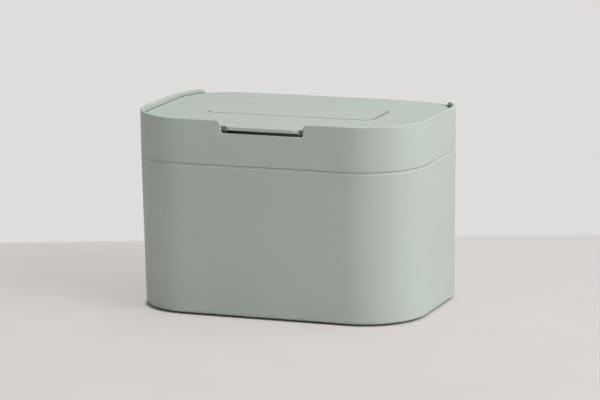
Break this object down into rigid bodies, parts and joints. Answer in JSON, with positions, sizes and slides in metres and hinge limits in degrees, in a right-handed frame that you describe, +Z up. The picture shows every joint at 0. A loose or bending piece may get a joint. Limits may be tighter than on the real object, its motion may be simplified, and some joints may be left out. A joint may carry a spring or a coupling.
{
  "type": "kitchen compost bin",
  "caption": "Countertop compost bin: outer tub, lift-out inner bucket with folding bail, lift-off collar and hinged lid that holds a charcoal filter under a cover.",
  "frame": {"origin": "on the floor, under the middle of the bin", "axes": "+Z up, +X along the width, the front with the lift tab faces -Y"},
  "size_m": [0.302, 0.198, 0.2],
  "materials": {
    "shell": "matte",
    "bucket": "satin",
    "liner": "satin",
    "foot_rubber": "matte",
    "silicone": "satin",
    "steel": "brushed",
    "charcoal": "felt"
  },
  "bodies": {
    "tub": {"outer_tub": "shell", "foot_front_left": "foot_rubber", "foot_front_right": "foot_rubber", "foot_rear_left": "foot_rubber", "foot_rear_right": "foot_rubber"},
    "bucket": {"inner_bucket": "bucket"},
    "bail": {"bucket_bail": "steel", "bail_grip": "bucket"},
    "collar": {"collar": "shell", "hinge_pin_left": "steel", "hinge_pin_right": "steel"},
    "lid": {"lid_shell": "shell", "lid_liner": "liner", "lid_seal": "silicone", "liner_screws": "steel", "filter_basket": "liner"},
    "filter_cover": {"filter_cover": "shell"},
    "filter_pad": {"filter_pad": "charcoal"}
  },
  "joints": [
    {"name": "collar_lift", "type": "slide", "parent": "tub", "child": "collar", "axis": [0, 0, 1], "range_m": [0, 0.36]},
    {"name": "bucket_lift", "type": "slide", "parent": "tub", "child": "bucket", "axis": [0, 0, 1], "range_m": [0, 0.18]},
    {"name": "bail_fold", "type": "hinge", "parent": "bucket", "child": "bail", "pos_m": [0, 0, 0.1425], "axis": [1, 0, 0], "range_deg": [0, 90]},
    {"name": "lid_hinge", "type": "hinge", "parent": "collar", "child": "lid", "pos_m": [0, 0.095, 0.1903], "axis": [-1, 0, 0], "range_deg": [0, 100]},
    {"name": "filter_cover_lift", "type": "slide", "parent": "lid", "child": "filter_cover", "axis": [0, 0, 1], "range_m": [0, 0.06]},
    {"name": "filter_pad_lift", "type": "slide", "parent": "lid", "child": "filter_pad", "axis": [0, 0, 1], "range_m": [0, 0.03]}
  ],
  "couplings": [
    {"joint": "bucket_lift", "follows": "collar_lift", "ratio": 0.5},
    {"joint": "bail_fold", "follows": "collar_lift", "rad_per_m": 4.363},
    {"joint": "filter_pad_lift", "follows": "filter_cover_lift", "ratio": 0.5}
  ]
}
